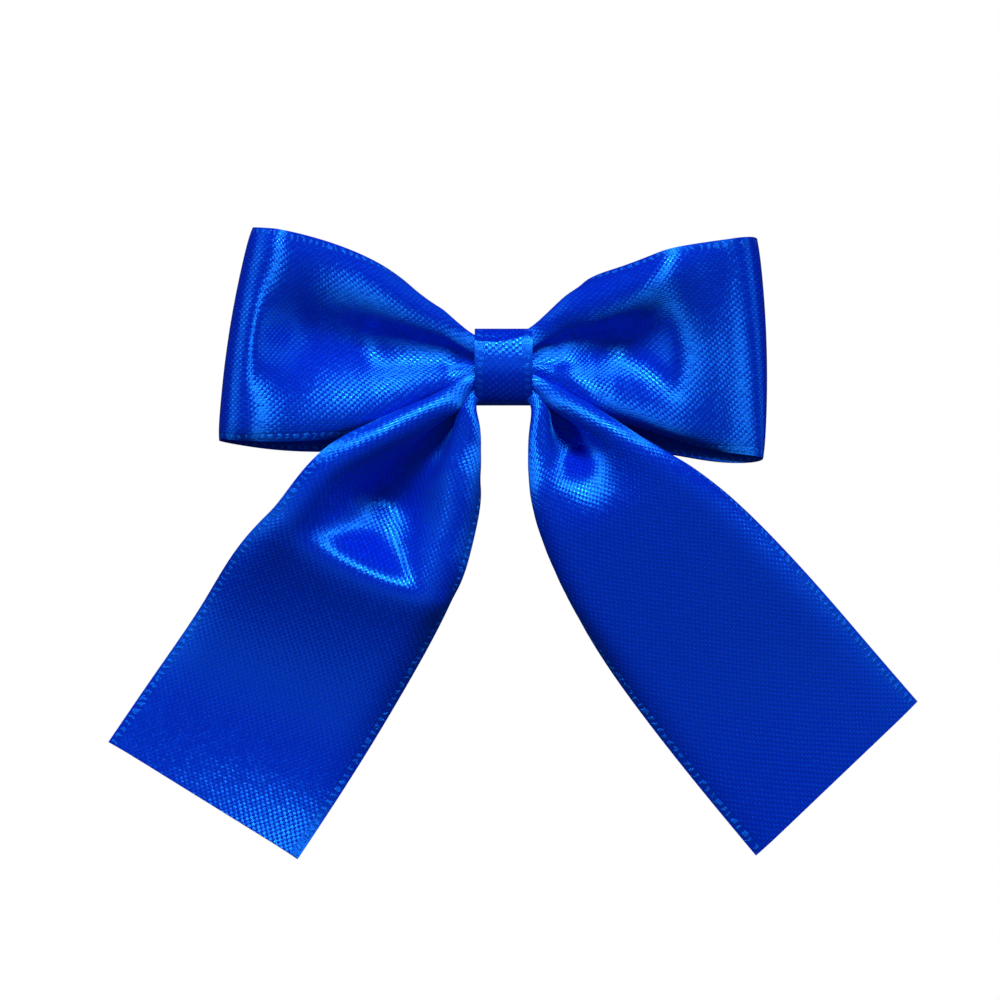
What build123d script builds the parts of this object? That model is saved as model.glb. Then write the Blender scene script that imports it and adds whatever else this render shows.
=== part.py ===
from build123d import *
from math import cos, radians, sin
import os

os.makedirs("parts", exist_ok=True)

# A pre-made satin gift bow that lies on its back: two loops, two tails in front of them, a narrow
# band round the middle and a self-adhesive pad behind it. Millimetres, +Z out through the front of
# the knot, +Y towards the top of the loops, origin in the middle of the back face.

# Ribbon of the loops and the tails
ribbon_width = 25.0
ribbon_thickness = 0.3

# Knot band, a strip of narrow ribbon wound once round the waist, its ends lapped behind
band_width = 6.5
band_thickness = 0.3
knot_height = 8.4
band_corner = 1.0
lap_length = 5.0
glue_thickness = 0.1
glue_margin = 0.5

# Binding thread under the band
thread_diameter = 0.35
thread_turns = 3
thread_pitch = 0.6
thread_gap = 0.02
thread_slack = 0.03

# Gathered ribbon in the waist
loop_waist_depth = 2.0
tail_waist_depth = 1.2
waist_corner = 0.8
waist_overhang = 0.05

# Self-adhesive pad behind the knot
pad_length = 12.0
pad_width = 7.0
pad_corner = 0.6
foam_thickness = 1.0
adhesive_thickness = 0.1
liner_thickness = 0.12
liner_tab = 3.5

# Loops: reach and rise of the outer bend's middle, lean of the bend, and the height that the front
# layer climbs to at the two ends of the bend
left_loop_reach = 30.4
left_loop_rise = 3.7
left_loop_lean = 8.5
left_crest_top = 14.0
left_crest_bottom = 10.4
right_loop_reach = 29.4
right_loop_rise = 2.2
right_loop_lean = 1.5
right_crest_top = 13.2
right_crest_bottom = 9.8
crest_fullness = 0.36
heel_fullness = 0.4
edge_margin = 1.5
back_clearance = 0.5
back_lift_reach = 11.0
loop_edge_start = 44.0
loop_edge_end = 9.0
loop_hem_end = 4.0

# Tails: middle of the cut end, heading there, skew of the cut, and where the full width is reached
left_tail_end = (-33.9, -48.8)
left_tail_heading = 237.6
left_cut_skew = 1.7
left_flare = 22.0
right_tail_end = (37.6, -46.4)
right_tail_heading = 309.6
right_cut_skew = -4.6
right_flare = 24.0
tail_shoulder = 1.0
tail_shoulder_angle = 24.0
tail_inner_angle = 4.0

# Tails from the side: they leave the waist level, climb over the lower edge of the loops, and come
# down again; the last points are distances from the knot and heights over the surface
tail_lift = 0.5
tail_run = 4.0
tail_climb = 0.8
ride_clearance = 0.4
left_ride_distance = 26.0
left_tail_descent = [(41, 4.5), (53, 0.4), (64, 2.2)]
right_ride_distance = 25.0
right_tail_descent = [(38, 5.4), (54, 1.6), (66, 0.2)]

# Levels of the stack, from the face that the bow lies on
foam_bottom = liner_thickness + adhesive_thickness
foam_top = foam_bottom + foam_thickness
band_back = foam_top + adhesive_thickness
glue_bottom = band_back + band_thickness
glue_top = glue_bottom + glue_thickness
band_inside_back = glue_top + band_thickness
waist_back = band_inside_back + thread_slack + thread_diameter + thread_gap
waist_split = waist_back + loop_waist_depth
waist_front = waist_split + tail_waist_depth
band_inside_front = waist_front + thread_gap + thread_diameter + thread_slack
waist_half_height = knot_height / 2 - band_thickness - thread_slack - thread_diameter - thread_gap
waist_half_length = band_width / 2 + waist_overhang
waist_join = band_width / 2 - waist_overhang
cut_height = max(left_crest_top, right_crest_top) + 10


def heading(degrees):
    return Vector(cos(radians(degrees)), sin(radians(degrees)))


def loop_section(side, reach, crest, level, inset):
    # the loop seen from its open end, on the plane at this level of Y
    height = crest - back_clearance
    with BuildSketch(Plane.XZ.offset(-level)) as section:
        with BuildLine():
            outline = FilletPolyline(
                (side * waist_join, waist_split - waist_overhang),
                (side * reach, crest),
                (side * reach, back_clearance),
                (side * back_lift_reach, back_clearance),
                (side * waist_join, waist_back),
                radius=[height * crest_fullness, height * heel_fullness, back_lift_reach / 2],
            )
            Line(outline @ 1, outline @ 0)
        make_face()
        if inset > 0:
            offset(amount=-inset, mode=Mode.REPLACE)
    return section.sketch


def loop_plan(side, reach, rise, lean):
    # the loop from the front: narrow at the waist, the ribbon's full width at the outer bend
    half_bend = heading(90 - side * lean) * (ribbon_width / 2)
    top = Vector(side * reach, rise) + half_bend
    bottom = Vector(side * reach, rise) - half_bend
    beyond = Vector(side * ribbon_width, 0)
    waist_top = Vector(side * waist_join, waist_half_height)
    waist_bottom = Vector(side * waist_join, -waist_half_height)
    start_x = side * cos(radians(loop_edge_start))
    start_y = sin(radians(loop_edge_start))
    top_end = (side * cos(radians(loop_edge_end)), sin(radians(loop_edge_end)))
    bottom_end = (-side * cos(radians(loop_hem_end)), sin(radians(loop_hem_end)))
    with BuildSketch() as plan:
        with BuildLine():
            Spline(waist_top, top, tangents=[(start_x, start_y), top_end])
            Polyline(top, top + beyond, bottom + beyond, bottom)
            Spline(bottom, waist_bottom, tangents=[bottom_end, (-start_x, start_y)])
            Line(waist_bottom, waist_top)
        make_face()
    return plan.sketch


def tail_plan(side, end, end_heading, skew, flare):
    # the tail from the front: it leaves the side of the waist and widens to the full ribbon
    along = heading(end_heading)
    across = heading(end_heading - 90 * side) * (ribbon_width / 2)
    cut = heading(end_heading - (90 + skew) * side) * (ribbon_width / 2 / cos(radians(skew)))
    flare_middle = Vector(*end) - along * flare
    shoulder = Vector(side * waist_join, -tail_shoulder)
    armpit = Vector(side * waist_join, -waist_half_height)
    knot_corner = Vector(side * waist_half_length, -knot_height / 2 - waist_overhang)
    start = heading(270 + side * (90 - tail_shoulder_angle))
    finish = heading(90 + side * tail_inner_angle)
    with BuildSketch() as plan:
        with BuildLine():
            Spline(shoulder, flare_middle - across, tangents=[start, along])
            Polyline(flare_middle - across, Vector(*end) - cut, Vector(*end) + cut, flare_middle + across)
            Spline(flare_middle + across, knot_corner, tangents=[-along, finish])
            Polyline(knot_corner, (knot_corner.X, armpit.Y), armpit, shoulder)
        make_face()
    return plan.sketch


def tail_side(end, ride_distance, ride_height, descent):
    # the tail from its edge, on the upright plane through the knot and the end
    along = Vector(*end).normalized()
    upright = Plane(origin=(0, 0, 0), x_dir=(along.X, along.Y, 0), z_dir=(along.Y, -along.X, 0))
    leave = waist_split + tail_lift
    lower = [
        Vector(0, leave),
        Vector(tail_run, leave),
        Vector(ride_distance / 2, leave + (ride_height - leave) * tail_climb),
        Vector(ride_distance, ride_height),
    ]
    lower += [Vector(distance, height) for distance, height in descent]
    upper = [point + Vector(0, ribbon_thickness) for point in reversed(lower)]
    with BuildSketch(upright) as side_view:
        with BuildLine():
            Spline(*lower)
            Line(lower[-1], upper[0])
            Spline(*upper)
            Line(upper[-1], lower[0])
        make_face()
    return side_view.sketch


def loop_ends(side, reach, rise, lean, crest_top, crest_bottom):
    # the bend leans, so the lower end of it stands further out than the upper one
    half_span = ribbon_width / 2 + edge_margin
    shift = sin(radians(lean)) * half_span
    lower_end = (side, reach + shift, crest_bottom, rise - half_span)
    upper_end = (side, reach - shift, crest_top, rise + half_span)
    return lower_end, upper_end


def loop_solid(side, reach, rise, lean, crest_top, crest_bottom):
    lower_end, upper_end = loop_ends(side, reach, rise, lean, crest_top, crest_bottom)
    with BuildPart() as loop:
        loft([loop_section(*lower_end, 0), loop_section(*upper_end, 0)], ruled=True)
        loft(
            [loop_section(*lower_end, ribbon_thickness), loop_section(*upper_end, ribbon_thickness)],
            ruled=True,
            mode=Mode.SUBTRACT,
        )
        extrude(loop_plan(side, reach, rise, lean), amount=cut_height, mode=Mode.INTERSECT)
    return loop.part


def tail_solid(loop, end, end_heading, skew, flare, ride_distance, descent):
    # the tail rides just over the highest part of the loop's lower end
    side = loop[0]
    lower_end = loop_ends(*loop)[0]
    ride_height = loop_section(*lower_end, 0).bounding_box().max.Z + ride_clearance
    with BuildPart() as tail:
        extrude(tail_side(end, ride_distance, ride_height, descent), amount=2 * ribbon_width, both=True)
        extrude(tail_plan(side, end, end_heading, skew, flare), amount=cut_height, mode=Mode.INTERSECT)
    return tail.part


left = (-1, left_loop_reach, left_loop_rise, left_loop_lean, left_crest_top, left_crest_bottom)
right = (1, right_loop_reach, right_loop_rise, right_loop_lean, right_crest_top, right_crest_bottom)
left_loop = loop_solid(*left)
right_loop = loop_solid(*right)
left_tail = tail_solid(
    left,
    left_tail_end,
    left_tail_heading,
    left_cut_skew,
    left_flare,
    left_ride_distance,
    left_tail_descent,
)
right_tail = tail_solid(
    right,
    right_tail_end,
    right_tail_heading,
    right_cut_skew,
    right_flare,
    right_ride_distance,
    right_tail_descent,
)

# One strip makes both loops and crosses the waist, gathered
with BuildPart() as loop_ribbon:
    with BuildSketch(Plane.YZ) as loop_waist:
        with Locations((0, (waist_back + waist_split) / 2)):
            Rectangle(2 * waist_half_height, loop_waist_depth)
        fillet(loop_waist.vertices().group_by(Axis.Y)[0], waist_corner)
    extrude(amount=waist_half_length, both=True)
    add(left_loop)
    add(right_loop)
loop_ribbon.part.label = "loop_ribbon"
export_step(loop_ribbon.part, "parts/loop_ribbon.step")

# A second strip crosses in front of it and hangs as the two tails
with BuildPart() as tail_ribbon:
    with BuildSketch(Plane.YZ) as tail_waist:
        with Locations((0, (waist_split + waist_front) / 2)):
            Rectangle(2 * waist_half_height, tail_waist_depth)
        fillet(tail_waist.vertices().group_by(Axis.Y)[-1], waist_corner)
    extrude(amount=waist_half_length, both=True)
    add(left_tail)
    add(right_tail)
tail_ribbon.part.label = "tail_ribbon"
export_step(tail_ribbon.part, "parts/tail_ribbon.step")

# Thread wound round the gathered waist, drawn as closed turns
thread_reach = waist_half_height + thread_gap + thread_diameter / 2
thread_low = waist_back - thread_gap - thread_diameter / 2
thread_high = waist_front + thread_gap + thread_diameter / 2
with BuildPart() as binding_thread:
    for turn in range(thread_turns):
        turn_x = (turn - (thread_turns - 1) / 2) * thread_pitch
        with BuildLine(Plane.YZ.offset(turn_x)) as wind:
            FilletPolyline(
                (-thread_reach, thread_low),
                (thread_reach, thread_low),
                (thread_reach, thread_high),
                (-thread_reach, thread_high),
                radius=waist_corner + thread_gap + thread_diameter / 2,
                close=True,
            )
        with BuildSketch(Plane(origin=wind.line @ 0, z_dir=wind.line % 0)):
            Circle(thread_diameter / 2)
        sweep(path=wind.line)
binding_thread.part.label = "binding_thread"
export_step(binding_thread.part, "parts/binding_thread.step")

# The band starts behind the waist, goes once round it and ends behind its own start
band_side = knot_height / 2 - band_thickness / 2
with BuildPart() as knot_band:
    with BuildSketch(Plane.YZ):
        with BuildLine() as band_path:
            FilletPolyline(
                (-lap_length / 2, band_inside_back - band_thickness / 2),
                (band_side, band_inside_back - band_thickness / 2),
                (band_side, band_inside_front + band_thickness / 2),
                (-band_side, band_inside_front + band_thickness / 2),
                (-band_side, band_back + band_thickness / 2),
                (lap_length / 2, band_back + band_thickness / 2),
                radius=band_corner,
            )
        trace(line_width=band_thickness)
    extrude(amount=band_width / 2, both=True)
knot_band.part.label = "knot_band"
export_step(knot_band.part, "parts/knot_band.step")

# Hot-melt film between the lapped ends of the band, a little short of both cut ends
with BuildPart() as band_glue:
    with BuildSketch(Plane.XY.offset(glue_bottom)):
        Rectangle(band_width, lap_length - 2 * glue_margin)
    extrude(amount=glue_thickness)
band_glue.part.label = "band_glue"
export_step(band_glue.part, "parts/band_glue.step")

# Double-sided foam pad: adhesive, foam, adhesive, each cut to the same outline
pad_layers = [
    ("pad_adhesive_back", liner_thickness, adhesive_thickness),
    ("foam_pad", foam_bottom, foam_thickness),
    ("pad_adhesive_front", foam_top, adhesive_thickness),
]
for layer_name, layer_bottom, layer_thickness in pad_layers:
    with BuildPart() as pad_layer:
        with BuildSketch(Plane.XY.offset(layer_bottom)):
            RectangleRounded(pad_length, pad_width, pad_corner)
        extrude(amount=layer_thickness)
    pad_layer.part.label = layer_name
    export_step(pad_layer.part, f"parts/{layer_name}.step")

# Release liner, with a bare tab past one end of the pad to peel it by
with BuildPart() as release_liner:
    with BuildSketch():
        with Locations((liner_tab / 2, 0)):
            RectangleRounded(pad_length + liner_tab, pad_width, pad_corner)
    extrude(amount=liner_thickness)
release_liner.part.label = "release_liner"
export_step(release_liner.part, "parts/release_liner.step")
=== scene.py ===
import bpy
import numpy as np
from math import pi, radians
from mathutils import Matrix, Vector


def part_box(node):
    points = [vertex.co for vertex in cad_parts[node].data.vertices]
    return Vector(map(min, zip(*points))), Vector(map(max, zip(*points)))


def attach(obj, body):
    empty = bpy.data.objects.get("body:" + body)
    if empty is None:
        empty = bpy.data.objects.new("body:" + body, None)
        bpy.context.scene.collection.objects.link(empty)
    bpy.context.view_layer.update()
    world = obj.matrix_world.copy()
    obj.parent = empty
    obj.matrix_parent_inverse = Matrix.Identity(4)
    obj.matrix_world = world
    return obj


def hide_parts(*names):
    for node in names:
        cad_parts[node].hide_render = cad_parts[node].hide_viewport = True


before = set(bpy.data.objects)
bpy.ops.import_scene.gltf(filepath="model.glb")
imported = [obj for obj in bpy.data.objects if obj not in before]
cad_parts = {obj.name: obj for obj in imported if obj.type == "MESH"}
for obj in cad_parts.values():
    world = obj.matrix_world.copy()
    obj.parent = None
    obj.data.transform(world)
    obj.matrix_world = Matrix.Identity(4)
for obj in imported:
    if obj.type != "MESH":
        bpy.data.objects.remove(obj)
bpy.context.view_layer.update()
bpy.ops.object.select_all(action="DESELECT")
mm = 0.001
finePoints = 8  # points per row on the lines that lengths are measured along


def splineThrough(keys, values, where):
    # natural cubic spline: smooth enough that a glossy surface shows no joints
    keys = np.asarray(keys, float)
    values = np.asarray(values, float)
    gap = np.diff(keys)
    slope = np.diff(values, axis=0) / gap[:, None]
    system = np.eye(len(keys))
    right = np.zeros_like(values)
    for i in range(1, len(keys) - 1):
        system[i, i - 1] = gap[i - 1]
        system[i, i] = 2 * (gap[i - 1] + gap[i])
        system[i, i + 1] = gap[i]
        right[i] = 6 * (slope[i] - slope[i - 1])
    bend = np.linalg.solve(system, right)
    i = np.clip(np.searchsorted(keys, where) - 1, 0, len(keys) - 2)
    before = ((where - keys[i]) / gap[i])[:, None]
    after = 1 - before
    square = (gap[i] ** 2 / 6)[:, None]
    return (
        after * values[i]
        + before * values[i + 1]
        + square * ((after**3 - after) * bend[i] + (before**3 - before) * bend[i + 1])
    )


pleatValues = {
    "hemReach": 0.36,  # how far in a hem past 1 brings its ridge, as a share of the width
    "creaseTurn": 0.62,  # how far the slope has turned where the crease ends
    "softenings": 6, "steepest": 2.6, "searches": 30,
}


def pleatPattern(shape, columns):
    # Slope across the ribbon, as a share of the steepest: an M with a valley between two ridges. Dip
    # is the valley's share. A hem of 1 is a ridge at the very edge, and a larger one goes over the
    # ridge and down again. Crease is the half width over which the valley turns. A dip below 0 is no
    # valley but an outward swell of so many millimetres.
    v = np.linspace(0, 1, columns)
    pattern = np.zeros((len(shape), columns))
    for i, (dip, depth, hemOne, hemOther, crease) in enumerate(shape):
        ridgeOne = pleatValues["hemReach"] * (hemOne - 1)
        ridgeOther = 1 - pleatValues["hemReach"] * (hemOther - 1)
        keys = [0, ridgeOne, 0.5 - crease, 0.5, 0.5 + crease, ridgeOther, 1]
        bent = pleatValues["creaseTurn"]
        turn = np.interp(v, keys, [-hemOne, -1, -bent, 0, bent, 1, hemOther])
        pattern[i] = np.sin(pi * turn) * np.where(np.abs(turn) < 1, max(dip, 0), 1)
    for _ in range(pleatValues["softenings"]):
        spread = np.pad(pattern, ((0, 0), (1, 1)), mode="edge")
        pattern = (spread[:, :-2] + 2 * pattern + spread[:, 2:]) / 4
    return pattern


def pleatedSections(width, cut, pattern):
    # the slope's strength is found so that the cut width, laid along the section, spans this width
    step = cut / (pattern.shape[1] - 1)
    zero = np.zeros((len(width), 1))

    def laid(strength):
        angle = strength[:, None] * (pattern[:, 1:] + pattern[:, :-1]) / 2
        across = np.hstack([zero, np.cumsum(np.cos(angle), axis=1) * step])
        return across, np.hstack([zero, np.cumsum(np.sin(angle), axis=1) * step])

    low = np.zeros(len(width))
    high = np.full(len(width), pleatValues["steepest"])
    for _ in range(pleatValues["searches"]):
        middle = (low + high) / 2
        wide = np.ptp(laid(middle)[0], axis=1) > width
        low = np.where(wide, middle, low)
        high = np.where(wide, high, middle)
    across, height = laid((low + high) / 2)
    across = (across - across.min(axis=1, keepdims=True)) / np.ptp(across, axis=1)[:, None]
    return across, height - height.max(axis=1, keepdims=True)


def sheetFromPoints(name, points, along, cut):
    # a grid laid on the points, with a map in millimetres across and along the ribbon
    rows, columns = points.shape[:2]
    bpy.ops.mesh.primitive_grid_add(x_subdivisions=columns - 1, y_subdivisions=rows - 1, size=2)
    piece = bpy.context.object
    piece.name = name
    mesh = piece.data
    mesh.name = name
    corners = np.array([corner.co for corner in mesh.vertices])
    column = np.rint((corners[:, 0] + 1) / 2 * (columns - 1)).astype(int)
    row = np.rint((corners[:, 1] + 1) / 2 * (rows - 1)).astype(int)
    mesh.vertices.foreach_set("co", (points[row, column] * mm).astype(np.float32).ravel())
    index = np.zeros(len(mesh.loops), int)
    mesh.loops.foreach_get("vertex_index", index)
    flat = np.stack([column / (columns - 1) * cut, along[row]], axis=1)[index]
    mesh.uv_layers.active.data.foreach_set("uv", flat.astype(np.float32).ravel())
    mesh.update()
    return piece


def ribbonMesh(name, stations, values):
    # Each station: one edge, the other edge, and the pleat's share, depth, two hems and crease. Edges
    # are in millimetres. The rows are spaced evenly along the middle, for a mesh of even squares.
    rows, columns = values["rows"], values["columns"]
    edges = np.array([one + other for one, other, shape in stations], float)
    shaping = np.array([shape for one, other, shape in stations], float)
    middle = (edges[:, :3] + edges[:, 3:]) / 2
    keys = np.concatenate([[0], np.cumsum(np.linalg.norm(np.diff(middle, axis=0), axis=1))])
    where = np.linspace(0, keys[-1], finePoints * rows)
    fine = splineThrough(keys, edges, where)
    fineMiddle = (fine[:, :3] + fine[:, 3:]) / 2
    length = np.concatenate([[0], np.cumsum(np.linalg.norm(np.diff(fineMiddle, axis=0), axis=1))])
    even = np.linspace(0, length[-1], rows)
    where = np.interp(even, length, where)
    edges = splineThrough(keys, edges, where)
    shape = np.stack([np.interp(where, keys, column) for column in shaping.T], axis=1)
    ease = np.array([1, 2, 3, 4, 3, 2, 1]) / 16  # spreads each change of shape over a few rows
    for column in shape.T:
        column[:] = np.convolve(np.pad(column, 3, mode="edge"), ease, mode="valid")
    first, second = edges[:, :3], edges[:, 3:]
    middle = (first + second) / 2
    along = np.gradient(middle, axis=0)
    span = first - second
    width = np.linalg.norm(span, axis=1)
    outward = np.cross(along, span)
    outward /= np.linalg.norm(outward, axis=1)[:, None]
    slack = 1 - width / values["cut"]
    slack = values["ease"] * np.logaddexp(0, slack / values["ease"])
    pattern = pleatPattern(shape, columns)
    across, height = pleatedSections((1 - slack) * values["cut"], values["cut"], pattern)
    swell = np.clip(-shape[:, :1], 0, None) * 4 * across * (1 - across)
    points = (
        first[:, None, :]
        - across[:, :, None] * span[:, None, :]
        + (shape[:, 1, None] * height + swell)[:, :, None] * outward[:, None, :]
    )
    print(name, "laid, mm long:", round(float(length[-1]), 2))
    return sheetFromPoints(name, points, even, values["cut"]), float(length[-1])


sheetFinish = {"levels": 1, "sharpAngle": 50}


def finishSheet(piece, thickness):
    bpy.ops.object.select_all(action="DESELECT")
    piece.select_set(True)
    bpy.context.view_layer.objects.active = piece
    smooth = piece.modifiers.new("smooth", "SUBSURF")
    smooth.levels = sheetFinish["levels"]
    smooth.render_levels = sheetFinish["levels"]
    smooth.boundary_smooth = "PRESERVE_CORNERS"
    bpy.ops.object.modifier_apply(modifier=smooth.name)
    thick = piece.modifiers.new("thickness", "SOLIDIFY")
    thick.thickness = thickness
    thick.offset = 0
    bpy.ops.object.modifier_apply(modifier=thick.name)
    bpy.ops.object.shade_smooth_by_angle(angle=radians(sheetFinish["sharpAngle"]))
    piece.select_set(False)


def newMaterial(name):
    material = bpy.data.materials.new(name)
    material.use_nodes = True
    return material, material.node_tree.nodes, material.node_tree.links


def maths(tree, operation, *values):
    # one Math node; each value is a number or another node's output
    node = tree.nodes.new("ShaderNodeMath")
    node.operation = operation
    for i, value in enumerate(values):
        if isinstance(value, (int, float)):
            node.inputs[i].default_value = value
        else:
            tree.links.new(value, node.inputs[i])
    return node.outputs[0]


def ramp(tree, value, low, high, lowOut=0.0, highOut=1.0):
    node = tree.nodes.new("ShaderNodeMapRange")
    node.interpolation_type = "SMOOTHSTEP"
    tree.links.new(value, node.inputs["Value"])
    for i, number in enumerate((low, high, lowOut, highOut)):
        node.inputs[1 + i].default_value = number
    return node.outputs[0]


def mixed(tree, share, one, other):
    node = tree.nodes.new("ShaderNodeMix")
    node.data_type = "RGBA"
    tree.links.new(share, node.inputs["Factor"])
    for name, value in (("A", one), ("B", other)):
        socket = [s for s in node.inputs if s.name == name and s.type == "RGBA"][0]
        if isinstance(value, tuple):
            socket.default_value = value
        else:
            tree.links.new(value, socket)
    return [s for s in node.outputs if s.type == "RGBA"][0]


def newGroup(name, inputs, outputs):
    group = bpy.data.node_groups.new(name, "ShaderNodeTree")
    for title, kind, value in inputs:
        socket = group.interface.new_socket(name=title, in_out="INPUT", socket_type=kind)
        if value is not None:
            socket.default_value = value
    for title, kind in outputs:
        group.interface.new_socket(name=title, in_out="OUTPUT", socket_type=kind)
    return group, group.nodes.new("NodeGroupInput"), group.nodes.new("NodeGroupOutput")


weaveValues = {  # in millimetres, and the ends, sides and faces as shares of a float or stitch
    "repeat": 0.75, "yarn": 0.38, "shift": 0.43,  # shift: from one yarn to the next, in repeats
    "wander": 0.35, "wanderBy": 0.5,  # slow drift of the floats: how many to a mm, and by how many repeats
    "loosest": 0.45,  # the least that a float stands up, as a share of the most
    "floatLift": 0.03, "crownLift": 0.014, "floatEnds": (0.7, 0.97), "floatSides": (0.3, 0.85),
    "selvedge": (1.0, 1.15),  # where it ends and the cloth starts, from the edge
    "stitch": 0.87, "stitchLift": 0.08, "stitchFace": (-0.1, 0.75),
    "stitchOuter": (0.22, 0.42), "stitchInner": (0.82, 1.02),
    "fray": 1.3, "fraySlip": 1.5, "frayWobble": 0.7,
}


def weaveGroup():
    # Satin face: each yarn floats over the next few and dips once in a repeat, and the dips of
    # neighbouring yarns are shifted, which gives the slanting rows of short bright floats. Both
    # edges are bound by the weft, which turns back there in small loops. The map is in millimetres.
    values = weaveValues
    group, given, out = newGroup(
        "satinWeave",
        [("Map", "NodeSocketVector", None), ("Cut Width", "NodeSocketFloat", 25.0),
         ("Repeat", "NodeSocketFloat", values["repeat"]), ("Yarn", "NodeSocketFloat", values["yarn"]),
         ("Shift", "NodeSocketFloat", values["shift"]), ("Stitch", "NodeSocketFloat", values["stitch"]),
         ("Bind", "NodeSocketFloat", 1.0)],
        [("Height", "NodeSocketFloat"), ("Float", "NodeSocketFloat"),
         ("Selvedge", "NodeSocketFloat"), ("Stitches", "NodeSocketFloat"), ("Uneven", "NodeSocketFloat")],
    )
    place = group.nodes.new("ShaderNodeSeparateXYZ")
    group.links.new(given.outputs["Map"], place.inputs[0])
    across, along = place.outputs[0], place.outputs[1]
    wander = group.nodes.new("ShaderNodeTexNoise")
    wander.inputs["Scale"].default_value = values["wander"]
    wander.inputs["Detail"].default_value = 2
    group.links.new(given.outputs["Map"], wander.inputs["Vector"])
    uneven = wander.outputs["Fac"]
    yarns = maths(group, "DIVIDE", across, given.outputs["Yarn"])
    number = maths(group, "FLOOR", yarns)
    inYarn = maths(group, "FRACT", yarns)
    shifted = maths(group, "MULTIPLY", number, given.outputs["Shift"])
    turn = maths(group, "ADD", maths(group, "DIVIDE", along, given.outputs["Repeat"]), shifted)
    turn = maths(group, "ADD", turn, maths(group, "MULTIPLY", uneven, values["wanderBy"]))
    chance = group.nodes.new("ShaderNodeTexWhiteNoise")  # no two floats are pulled quite the same
    chance.noise_dimensions = "2D"
    both = group.nodes.new("ShaderNodeCombineXYZ")
    group.links.new(number, both.inputs[0])
    group.links.new(maths(group, "FLOOR", turn), both.inputs[1])
    group.links.new(both.outputs[0], chance.inputs["Vector"])
    turn = maths(group, "FRACT", turn)
    arch = maths(group, "SINE", maths(group, "MULTIPLY", turn, pi))
    crown = maths(group, "SINE", maths(group, "MULTIPLY", inYarn, pi))
    pull = ramp(group, chance.outputs["Value"], 0.0, 1.0, values["loosest"], 1.0)
    lift = maths(group, "MULTIPLY", maths(group, "MULTIPLY", arch, pull), values["floatLift"])
    lift = maths(group, "ADD", lift, maths(group, "MULTIPLY", crown, values["crownLift"]))
    ends = ramp(group, arch, *values["floatEnds"])
    sides = ramp(group, crown, *values["floatSides"])
    floats = maths(group, "MULTIPLY", maths(group, "MULTIPLY", ends, sides), pull)
    edge = maths(group, "MINIMUM", across, maths(group, "SUBTRACT", given.outputs["Cut Width"], across))
    bound = ramp(group, edge, *values["selvedge"], 1.0, 0.0)
    fray = group.nodes.new("ShaderNodeTexNoise")
    fray.inputs["Scale"].default_value = values["fray"]
    fray.inputs["Detail"].default_value = 3
    group.links.new(given.outputs["Map"], fray.inputs["Vector"])
    slip = maths(group, "MULTIPLY", fray.outputs["Fac"], values["fraySlip"])
    moved = maths(group, "ADD", along, slip)
    beat = maths(group, "DIVIDE", moved, given.outputs["Stitch"])
    beat = maths(group, "SINE", maths(group, "MULTIPLY", beat, 2 * pi))
    wobbly = values["frayWobble"]
    wobble = maths(group, "MULTIPLY_ADD", fray.outputs["Fac"], wobbly, -wobbly / 2)
    reach = maths(group, "ADD", edge, wobble)
    outer = ramp(group, reach, *values["stitchOuter"])
    inner = ramp(group, reach, *values["stitchInner"], 1.0, 0.0)
    bite = maths(group, "MULTIPLY", outer, inner)
    loops = maths(group, "MULTIPLY", ramp(group, beat, *values["stitchFace"]), bite)
    loops = maths(group, "MULTIPLY", loops, given.outputs["Bind"])
    plain = maths(group, "SUBTRACT", 1.0, bound)
    stitched = maths(group, "MULTIPLY", loops, values["stitchLift"])
    height = maths(group, "ADD", maths(group, "MULTIPLY", lift, plain), stitched)
    group.links.new(height, out.inputs["Height"])
    group.links.new(maths(group, "MULTIPLY", floats, plain), out.inputs["Float"])
    group.links.new(bound, out.inputs["Selvedge"])
    group.links.new(loops, out.inputs["Stitches"])
    group.links.new(uneven, out.inputs["Uneven"])
    return group


satin = {
    # float is painted lighter than base: a painted highlight on the float crests
    "base": (0.0007, 0.0150, 0.58, 1), "float": (0.002, 0.050, 0.95, 1),
    # stitch is painted lighter still: a painted highlight on the weft loops at the edges
    "selvedge": (0.0007, 0.020, 0.58, 1), "stitch": (0.005, 0.115, 0.95, 1),
    "sheen": (0.012, 0.27, 1.0, 1), "sheenLevel": 0.95, "ior": 2.4, "anisotropic": 1.0,
    "roughness": (0.48, 0.22), "blotch": (0.92, 1.08),
}
noiseSpan = (0.3, 0.7)  # a noise texture's usual lows and highs
weave = weaveGroup()
print("satin weave ready")


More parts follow.
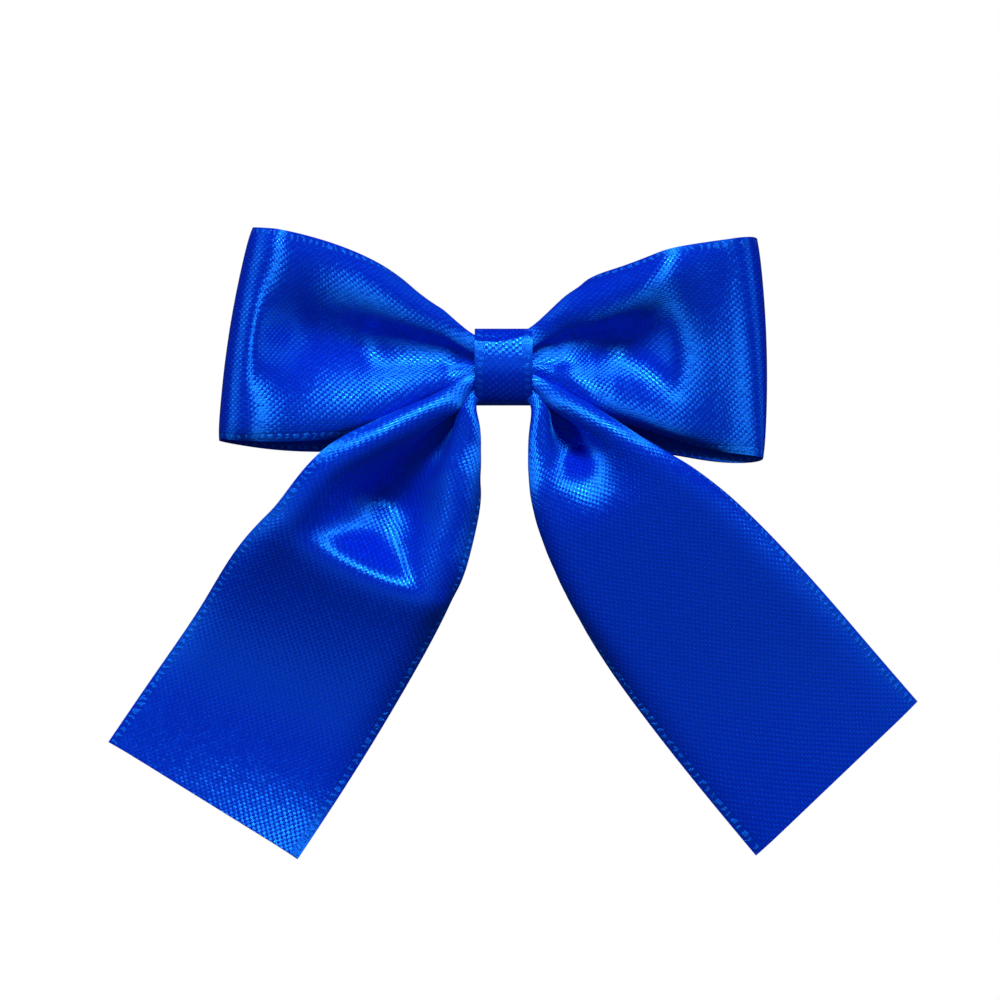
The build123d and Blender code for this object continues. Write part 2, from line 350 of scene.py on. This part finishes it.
def satinMaterial(name, cut, yarn, bind):
    material, nodes, links = newMaterial(name)
    tree = material.node_tree
    shader = nodes["Principled BSDF"]
    shader.inputs["Specular Tint"].default_value = satin["sheen"]
    shader.inputs["Specular IOR Level"].default_value = satin["sheenLevel"]
    shader.inputs["IOR"].default_value = satin["ior"]
    shader.inputs["Anisotropic"].default_value = satin["anisotropic"]
    ownMap = nodes.new("ShaderNodeUVMap")
    ownMap.uv_map = "UVMap"
    cloth = nodes.new("ShaderNodeGroup")
    cloth.node_tree = weave
    cloth.inputs["Cut Width"].default_value = cut
    cloth.inputs["Yarn"].default_value = yarn
    cloth.inputs["Bind"].default_value = bind
    links.new(ownMap.outputs["UV"], cloth.inputs["Map"])
    # the floats get the lighter float colour, a painted highlight on their crests, and the gaps keep the
    # base
    colour = mixed(tree, cloth.outputs["Float"], satin["base"], satin["float"])
    colour = mixed(tree, cloth.outputs["Selvedge"], colour, satin["selvedge"])
    # the weft loops at the edges get the lighter stitch colour: a painted highlight
    colour = mixed(tree, cloth.outputs["Stitches"], colour, satin["stitch"])
    links.new(colour, shader.inputs["Base Color"])
    rough = ramp(tree, cloth.outputs["Float"], 0.0, 1.0, *satin["roughness"])
    blotch = ramp(tree, cloth.outputs["Uneven"], *noiseSpan, *satin["blotch"])
    rough = maths(tree, "MULTIPLY", rough, blotch)
    links.new(rough, shader.inputs["Roughness"])
    bump = nodes.new("ShaderNodeBump")
    bump.inputs["Strength"].default_value = 1.0
    bump.inputs["Distance"].default_value = mm
    links.new(cloth.outputs["Height"], bump.inputs["Height"])
    links.new(bump.outputs["Normal"], shader.inputs["Normal"])
    tangent = nodes.new("ShaderNodeTangent")
    tangent.direction_type = "UV_MAP"
    tangent.uv_map = "UVMap"
    links.new(tangent.outputs["Tangent"], shader.inputs["Tangent"])
    return material


loopValues = {
    "cut": 25.0, "thickness": 0.22, "yarn": 0.31, "bind": 1.0, "rows": 230, "columns": 41, "ease": 0.01,
    "stations": [  # from its start behind the knot, round the left loop and the right one, to its lap
        ((2.4, 2.6, 2.7), (2.4, -2.6, 2.7), (1, 0.1, 1.7, 1.7, 0.15)),
        ((-3.0, 2.8, 2.7), (-3.0, -2.8, 2.7), (1, 0.1, 1.7, 1.7, 0.15)),
        ((-7.0, 5.6, 2.0), (-7.0, -5.6, 2.0), (1, 0.4, 1.7, 1.7, 0.15)),
        ((-13.0, 9.8, 1.1), (-13.0, -8.6, 1.1), (1, 0.4, 1.5, 1.5, 0.15)),
        ((-21.0, 13.1, 0.8), (-21.0, -9.6, 0.8), (0.5, 0.5, 1.4, 1.4, 0.15)),
        ((-26.6, 14.6, 1.0), (-29.0, -9.0, 1.0), (-0.3, 0.2, 1.2, 1.2, 0.15)),
        ((-27.9, 15.1, 3.2), (-31.8, -8.5, 2.8), (-0.6, 0.1, 1.2, 1.2, 0.15)),
        ((-28.1, 15.3, 6.8), (-32.0, -8.3, 5.2), (-0.7, 0.1, 1.2, 1.2, 0.15)),
        ((-27.8, 15.3, 10.2), (-31.5, -8.2, 8.0), (-0.6, 0.1, 1.2, 1.2, 0.15)),
        ((-26.3, 15.1, 11.8), (-29.9, -8.4, 9.6), (0, 0.6, 1.25, 1.25, 0.15)),
        ((-21.0, 14.1, 10.8), (-22.4, -8.5, 9.2), (0.8, 1, 1.25, 1.25, 0.17)),
        ((-13.8, 11.4, 8.8), (-14.0, -7.5, 7.6), (0.9, 1, 1.4, 1.45, 0.17)),
        ((-7.2, 6.9, 6.8), (-7.2, -4.5, 5.6), (0.8, 0.8, 1.85, 1.9, 0.14)),
        ((-3.4, 3.4, 5.9), (-3.4, -2.0, 4.6), (0.9, 0.18, 1.85, 1.85, 0.14)),
        ((0, 2.9, 6.15), (0, -2.2, 4.7), (0.9, 0.1, 1.8, 1.8, 0.1)),
        ((3.4, 4.5, 5.9), (3.4, -2.0, 4.8), (0.85, 0.18, 1.8, 1.85, 0.14)),
        ((6.6, 8.0, 7.0), (7.2, -4.6, 7.0), (0.8, 0.8, 1.7, 1.9, 0.16)),
        ((12.2, 10.1, 9.6), (13.2, -7.0, 6.0), (0.9, 1, 1.5, 1.5, 0.19)),
        ((18.6, 12.2, 11.0), (20.0, -8.8, 4.4), (0.12, 1, 1.3, 1.3, 0.2)),
        ((25.0, 14.0, 8.7), (26.6, -9.9, 2.7), (0, 0.4, 1.2, 1.2, 0.15)),
        ((28.0, 14.4, 7.0), (29.1, -10.2, 2.3), (-0.6, 0.1, 1.2, 1.2, 0.15)),
        ((28.6, 14.2, 4.6), (29.4, -10.4, 1.9), (-0.7, 0.1, 1.2, 1.2, 0.15)),
        ((28.1, 13.8, 2.2), (29.0, -10.7, 1.4), (-0.6, 0.1, 1.2, 1.2, 0.15)),
        ((26.2, 13.4, 1.0), (27.0, -10.9, 1.0), (-0.3, 0.2, 1.2, 1.2, 0.15)),
        ((20.0, 12.2, 0.8), (20.0, -10.1, 0.8), (0.5, 0.5, 1.4, 1.4, 0.15)),
        ((13.0, 9.8, 1.1), (13.0, -8.6, 1.1), (1, 0.4, 1.5, 1.5, 0.15)),
        ((7.0, 5.8, 2.0), (7.0, -5.6, 2.0), (1, 0.4, 1.7, 1.7, 0.15)),
        ((3.0, 2.8, 3.2), (3.0, -2.8, 3.2), (1, 0.1, 1.7, 1.7, 0.15)),
        ((-2.4, 2.6, 3.2), (-2.4, -2.6, 3.2), (1, 0.1, 1.7, 1.7, 0.15)),
    ],
}

tailValues = {
    "cut": 25.0, "thickness": 0.22, "rows": 200, "columns": 41, "ease": 0.01,
    "stations": [  # from the left tail's cut end, through the knot, to the right tail's
        ((-44.7, -42.4, 2.2), (-23.2, -55.5, 4.2), (0, 1, 1.3, 1.3, 0.15)),
        ((-39.3, -34.5, 1.3), (-17.9, -47.5, 1.4), (0, 1, 1.3, 1.3, 0.15)),
        ((-34.0, -26.9, 3.2), (-12.5, -38.8, 2.0), (0, 1, 1.3, 1.4, 0.15)),
        ((-28.8, -19.6, 7.8), (-7.3, -29.7, 5.6), (0.0, 1, 1.25, 1.35, 0.36)),
        ((-26.6, -17.4, 9.3), (-6.0, -27.2, 7.0), (0.08, 1.2, 1.25, 1.35, 0.36)),
        ((-24.7, -15.0, 10.0), (-4.8, -24.8, 7.6), (0.7, 1.4, 1.25, 1.35, 0.36)),
        ((-21.5, -11.0, 10.4), (-3.1, -19.8, 7.8), (1, 1.55, 1.25, 1.4, 0.33)),
        ((-17.1, -7.7, 10.2), (-1.9, -14.0, 7.6), (1, 1.05, 1.35, 1.5, 0.22)),
        ((-11.4, -4.9, 8.9), (-2.0, -9.2, 7.0), (0.95, 0.85, 1.45, 1.65, 0.12)),
        ((-6.5, -2.6, 7.2), (-2.5, -6.0, 6.3), (0.95, 0.55, 1.6, 1.7, 0.09)),
        ((-3.4, -1.0, 6.1), (-2.9, -4.1, 5.5), (1, 0.25, 1.6, 1.6, 0.08)),
        ((0, -0.4, 6.4), (0, -3.5, 5.3), (1, 0.12, 1.6, 1.6, 0.08)),
        ((3.3, -1.2, 6.1), (2.8, -4.1, 5.5), (1, 0.25, 1.6, 1.6, 0.1)),
        ((7.0, -2.8, 7.3), (2.6, -6.5, 6.5), (0.9, 0.9, 1.6, 1.65, 0.15)),
        ((10.6, -4.9, 8.8), (2.3, -9.8, 7.4), (0.7, 1.15, 1.6, 1.7, 0.17)),
        ((15.6, -8.4, 10.0), (2.9, -15.0, 8.2), (0.2, 1.1, 1.5, 1.6, 0.18)),
        ((20.4, -11.6, 9.8), (4.4, -20.1, 7.4), (0.0, 1, 1.3, 1.5, 0.15)),
        ((27.7, -17.4, 8.0), (9.1, -29.9, 5.0), (0, 1, 1.3, 1.3, 0.15)),
        ((34.9, -24.5, 5.4), (14.8, -38.3, 2.9), (0, 1, 1.3, 1.3, 0.15)),
        ((40.8, -31.0, 2.9), (21.4, -46.7, 1.3), (0, 1, 1.3, 1.3, 0.15)),
        ((47.0, -38.0, 0.8), (28.7, -55.5, 0.7), (0, 1, 1.3, 1.3, 0.15)),
    ],
}

bandValues = {
    "width": 6.5, "thickness": 0.25, "yarn": 0.38, "bind": 0.35, "columns": 21, "rows": 150,
    # above a crease the front steps back by creaseDrop, and the crease is lowest at creaseX
    "creaseLow": 2.85, "creaseX": -0.9, "creaseLeft": 0.04, "creaseRight": 0.09, "creaseDrop": 0.34,
    "creaseSpan": 0.35, "creaseAhead": 0.15, "frontFrom": 4.6, "frontFade": 1.2,
    "path": [  # Y and Z, from its hidden start behind the waist, round by the top, to its lapped end
        (-2.5, 1.87), (0, 1.87), (2.6, 1.87), (3.7, 2.15), (4.0, 3.1), (4.08, 4.4), (4.02, 5.3),
        (3.7, 6.0), (2.95, 6.5), (1.9, 6.84), (0.6, 7.12), (-0.8, 7.1), (-2.1, 6.6), (-3.3, 5.75),
        (-4.1, 4.8), (-4.3, 3.7), (-4.2, 2.5), (-3.6, 1.72), (-2.5, 1.48), (0, 1.47), (2.5, 1.47),
    ],
}


def makeBand():
    values = bandValues
    turns = np.array(values["path"], float)
    keys = np.concatenate([[0], np.cumsum(np.linalg.norm(np.diff(turns, axis=0), axis=1))])
    fine = splineThrough(keys, turns, np.linspace(0, keys[-1], finePoints * values["rows"]))
    length = np.concatenate([[0], np.cumsum(np.linalg.norm(np.diff(fine, axis=0), axis=1))])
    even = np.linspace(0, length[-1], values["rows"])
    line = np.stack([np.interp(even, length, fine[:, k]) for k in (0, 1)], axis=1)
    side = np.linspace(-0.5, 0.5, values["columns"]) * values["width"]
    points = np.zeros((values["rows"], values["columns"], 3))
    points[:, :, 0] = side
    points[:, :, 1:] = line[:, None, :]
    rise = np.where(side < values["creaseX"], values["creaseLeft"], values["creaseRight"])
    crease = values["creaseLow"] + rise * (side - values["creaseX"]) ** 2
    past = points[:, :, 1] - crease
    front = np.clip((points[:, :, 2] - values["frontFrom"]) / values["frontFade"], 0, 1)
    step = np.clip((past + values["creaseAhead"]) / values["creaseSpan"], 0, 1)
    points[:, :, 2] -= values["creaseDrop"] * front * step * step * (3 - 2 * step)
    return sheetFromPoints("knotBand", points, even, values["width"])


satinBlue = satinMaterial("satinRibbon", loopValues["cut"], loopValues["yarn"], loopValues["bind"])
loopRibbon, loopLength = ribbonMesh("loopRibbon", loopValues["stations"], loopValues)
finishSheet(loopRibbon, loopValues["thickness"] * mm)
tailRibbon, tailLength = ribbonMesh("tailRibbon", tailValues["stations"], tailValues)
finishSheet(tailRibbon, tailValues["thickness"] * mm)
bandBlue = satinMaterial("bandRibbon", bandValues["width"], bandValues["yarn"], bandValues["bind"])
knotBand = makeBand()
finishSheet(knotBand, bandValues["thickness"] * mm)
print("knot band wound")
knotBand.data.materials.append(bandBlue)
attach(knotBand, "bow")
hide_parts("knot_band")
for piece in (loopRibbon, tailRibbon):
    piece.data.materials.append(satinBlue)
    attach(piece, "bow")
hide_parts("loop_ribbon")
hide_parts("tail_ribbon")
print("ribbons finished")


def grainGroup():
    # coarse blotches and a fine tooth, both from a place in millimetres
    group, given, out = newGroup(
        "fineGrain",
        [("Place", "NodeSocketVector", None), ("Fine", "NodeSocketFloat", 6.0),
         ("Coarse", "NodeSocketFloat", 0.6)],
        [("Tooth", "NodeSocketFloat"), ("Blotch", "NodeSocketFloat")],
    )
    for title, scale in (("Tooth", "Fine"), ("Blotch", "Coarse")):
        noise = group.nodes.new("ShaderNodeTexNoise")
        noise.inputs["Detail"].default_value = 4
        group.links.new(given.outputs["Place"], noise.inputs["Vector"])
        group.links.new(given.outputs[scale], noise.inputs["Scale"])
        group.links.new(noise.outputs["Fac"], out.inputs[title])
    return group


grain = grainGroup()
grainShares = {  # the least and most of the pale colour, and of the relief, that each effect leaves
    "blotch": (0.4, 1.0), "tooth": (0.5, 1.0), "dome": (0.1, 0.7), "seamShade": (0.0, 0.5, 0.35, 1.0),
    "domeTooth": 0.3, "plyShade": (0.05, 0.7, 0.2, 1.0), "plyTooth": 0.2,
}


def grainyMaterial(name, values):
    # values: pale and dark colour, fine and coarse grain per millimetre, roughness, relief in mm,
    # and for some a foam cell's size, a thread's twist, or how clear the film is
    material, nodes, links = newMaterial(name)
    tree = material.node_tree
    shader = nodes["Principled BSDF"]
    place = nodes.new("ShaderNodeTexCoord")
    sized = nodes.new("ShaderNodeMapping")
    sized.inputs["Scale"].default_value = (1000, 1000, 1000)
    links.new(place.outputs["Object"], sized.inputs["Vector"])
    grains = nodes.new("ShaderNodeGroup")
    grains.node_tree = grain
    grains.inputs["Fine"].default_value = values["fine"]
    grains.inputs["Coarse"].default_value = values["coarse"]
    links.new(sized.outputs["Vector"], grains.inputs["Place"])
    tooth, blotch = grains.outputs["Tooth"], grains.outputs["Blotch"]
    blotches = ramp(tree, blotch, *noiseSpan, *grainShares["blotch"])
    share = maths(tree, "MULTIPLY", blotches, ramp(tree, tooth, *noiseSpan, *grainShares["tooth"]))
    height = tooth
    if "cell" in values:  # closed foam cells, as small domes, with painted shade darkening the seams between them
        cells = nodes.new("ShaderNodeTexVoronoi")
        cells.inputs["Scale"].default_value = 1 / values["cell"]
        links.new(sized.outputs["Vector"], cells.inputs["Vector"])
        dome = ramp(tree, cells.outputs["Distance"], *grainShares["dome"], 1.0, 0.0)
        share = maths(tree, "MULTIPLY", share, ramp(tree, dome, *grainShares["seamShade"]))
        height = maths(tree, "ADD", dome, maths(tree, "MULTIPLY", tooth, grainShares["domeTooth"]))
    if "twist" in values:  # plies that wind round the thread as it goes round the waist, with painted shade in the grooves between them
        spot = nodes.new("ShaderNodeSeparateXYZ")
        links.new(sized.outputs["Vector"], spot.inputs[0])
        above = maths(tree, "SUBTRACT", spot.outputs[2], values["waist"])
        turn = maths(tree, "ARCTAN2", above, spot.outputs[1])
        lean = maths(tree, "MULTIPLY", spot.outputs[0], pi / values["thread"])
        phase = maths(tree, "ADD", maths(tree, "MULTIPLY", turn, values["twist"]), lean)
        ply = maths(tree, "ABSOLUTE", maths(tree, "SINE", phase))
        share = maths(tree, "MULTIPLY", share, ramp(tree, ply, *grainShares["plyShade"]))
        height = maths(tree, "ADD", ply, maths(tree, "MULTIPLY", tooth, grainShares["plyTooth"]))
    links.new(mixed(tree, share, values["dark"], values["pale"]), shader.inputs["Base Color"])
    links.new(ramp(tree, tooth, *noiseSpan, *values["roughness"]), shader.inputs["Roughness"])
    bump = nodes.new("ShaderNodeBump")
    bump.inputs["Distance"].default_value = values["relief"] * mm
    links.new(height, bump.inputs["Height"])
    links.new(bump.outputs["Normal"], shader.inputs["Normal"])
    if "clear" in values:
        shader.inputs["Transmission Weight"].default_value = values["clear"]
    return material


adhesiveFilm = {
    "pale": (0.84, 0.82, 0.75, 1), "dark": (0.66, 0.62, 0.52, 1), "fine": 4.0, "coarse": 0.5,
    "roughness": (0.16, 0.32), "relief": 0.02, "clear": 0.55,
}
backingFinishes = {
    "band_glue": {
        "pale": (0.86, 0.84, 0.76, 1), "dark": (0.62, 0.58, 0.48, 1), "fine": 5.0, "coarse": 0.9,
        "roughness": (0.22, 0.4), "relief": 0.03, "clear": 0.45,
    },
    "pad_adhesive_front": adhesiveFilm,
    "pad_adhesive_back": adhesiveFilm,
    "release_liner": {
        "pale": (0.87, 0.84, 0.75, 1), "dark": (0.74, 0.69, 0.58, 1), "fine": 9.0, "coarse": 0.7,
        "roughness": (0.3, 0.48), "relief": 0.012,
    },
    "binding_thread": {
        "pale": (0.006, 0.04, 0.42, 1), "dark": (0.001, 0.008, 0.12, 1), "fine": 14.0, "coarse": 2.0,
        "roughness": (0.42, 0.62), "relief": 0.05, "twist": 18.0, "waist": 4.0, "thread": 0.35,
    },
}
for node, values in backingFinishes.items():
    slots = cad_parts[node].data.materials
    slots.clear()
    slots.append(grainyMaterial(node + "Finish", values))
print("backing finishes done")

foamPadValues = {
    "corner": 0.6, "cornerSteps": 6, "edge": 0.07, "edgeSteps": 2, "edgeAngle": 60, "smoothAngle": 40,
    "bulge": (1.012, 1.02, 1.0), "flatRim": 0.12, "cuts": 5, "fill": 1.0,
    "finish": {
        "pale": (0.9, 0.9, 0.88, 1), "dark": (0.6, 0.6, 0.57, 1), "fine": 12.0, "coarse": 0.8,
        "roughness": (0.68, 0.86), "relief": 0.05, "cell": 0.22,
    },
}


def makeFoamPad():
    values = foamPadValues
    low, high = [np.array(corner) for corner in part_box("foam_pad")]
    bpy.ops.object.select_all(action="DESELECT")
    bpy.ops.mesh.primitive_cube_add(size=1, location=(low + high) / 2)
    pad = bpy.context.object
    pad.name = "foamPad"
    pad.data.name = "foamPad"
    pad.scale = high - low
    bpy.ops.object.transform_apply(location=True, rotation=True, scale=True)
    heights = [[pad.data.vertices[i].co[2] for i in edge.vertices] for edge in pad.data.edges]
    upright = [i for i, (one, other) in enumerate(heights) if abs(one - other) > 0.5 * (high - low)[2]]
    bpy.ops.object.mode_set(mode="EDIT")
    bpy.ops.mesh.select_mode(type="EDGE")
    bpy.ops.mesh.select_all(action="DESELECT")
    bpy.ops.object.mode_set(mode="OBJECT")
    for i in upright:
        pad.data.edges[i].select = True
    bpy.ops.object.mode_set(mode="EDIT")
    bpy.ops.mesh.bevel(offset=values["corner"] * mm, segments=values["cornerSteps"])  # die-cut corners
    bpy.ops.mesh.select_all(action="SELECT")
    bpy.ops.mesh.subdivide(number_cuts=values["cuts"])
    bpy.ops.mesh.select_mode(type="VERT")
    bpy.ops.mesh.select_all(action="DESELECT")
    bpy.ops.object.mode_set(mode="OBJECT")
    rim = values["flatRim"] * mm
    for corner in pad.data.vertices:
        corner.select = low[2] + rim < corner.co[2] < high[2] - rim
    bpy.ops.object.mode_set(mode="EDIT")
    bpy.ops.transform.resize(value=values["bulge"])  # the pressed pad stands out between its faces
    bpy.ops.mesh.select_all(action="SELECT")
    bpy.ops.mesh.normals_make_consistent(inside=False)
    bpy.ops.object.mode_set(mode="OBJECT")
    edge = pad.modifiers.new("edge", "BEVEL")
    edge.width = values["edge"] * mm
    edge.segments = values["edgeSteps"]
    edge.angle_limit = radians(values["edgeAngle"])
    bpy.ops.object.modifier_apply(modifier=edge.name)
    bpy.ops.object.shade_smooth_by_angle(angle=radians(values["smoothAngle"]))
    pad.data.materials.append(grainyMaterial("foamFinish", values["finish"]))
    pad.select_set(False)
    return pad


foamPad = makeFoamPad()
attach(foamPad, "bow")
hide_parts("foam_pad")
print("foam pad done")

studio = {
    "look": (-0.4, -15.1), "field": 113.6, "distance": 550.0, "sensor": 36,
    "floorSize": 4000.0, "floorDrop": 0.02, "floorGlow": 0.06, "world": 0.085,
    # name: direction, distance, size, power in watts
    "lights": {
        "keyLight": ((0.05, 0.67, 0.74), 400.0, 110.0, 1.85),
        "leftFill": ((-0.93, 0.10, 0.36), 400.0, 200.0, 0.36),
        "rightFill": ((0.93, 0.10, 0.36), 400.0, 200.0, 0.24),
    },
}

bpy.ops.mesh.primitive_plane_add(size=studio["floorSize"] * mm, location=(0, 0, -studio["floorDrop"] * mm))
floor = bpy.context.object
floor.name = "floor"
floorMaterial, nodes, links = newMaterial("paleFloor")
nodes.remove(nodes["Principled BSDF"])
glow = nodes.new("ShaderNodeEmission")
seen = nodes.new("ShaderNodeLightPath")  # bright to look at, and dim as a light
shown = ramp(floorMaterial.node_tree, seen.outputs["Is Camera Ray"], 0, 1, studio["floorGlow"], 1.0)
links.new(shown, glow.inputs["Strength"])
links.new(glow.outputs[0], nodes["Material Output"].inputs["Surface"])
floor.data.materials.append(floorMaterial)

world = bpy.data.worlds.new("studio")
bpy.context.scene.world = world
world.use_nodes = True
surround = world.node_tree.nodes["Background"]
surround.inputs["Color"].default_value = (1, 1, 1, 1)
seen = world.node_tree.nodes.new("ShaderNodeLightPath")
shown = ramp(world.node_tree, seen.outputs["Is Camera Ray"], 0, 1, studio["world"], 1.0)
world.node_tree.links.new(shown, surround.inputs["Strength"])

bpy.ops.object.camera_add(
    location=(studio["look"][0] * mm, studio["look"][1] * mm, studio["distance"] * mm), rotation=(0, 0, 0)
)
camera = bpy.context.object
camera.data.sensor_width = studio["sensor"]
camera.data.lens = studio["sensor"] / 2 / (studio["field"] / 2 / studio["distance"])
bpy.context.scene.camera = camera
bpy.context.scene.view_settings.view_transform = "Standard"

for name, (direction, away, size, power) in studio["lights"].items():
    place = np.array(direction) / np.linalg.norm(direction) * away * mm
    bpy.ops.object.light_add(type="AREA", location=place)
    light = bpy.context.object
    light.name = name
    light.data.size = size * mm
    light.data.energy = power
    light.rotation_euler = light.location.to_track_quat("Z", "Y").to_euler()
print("studio ready")
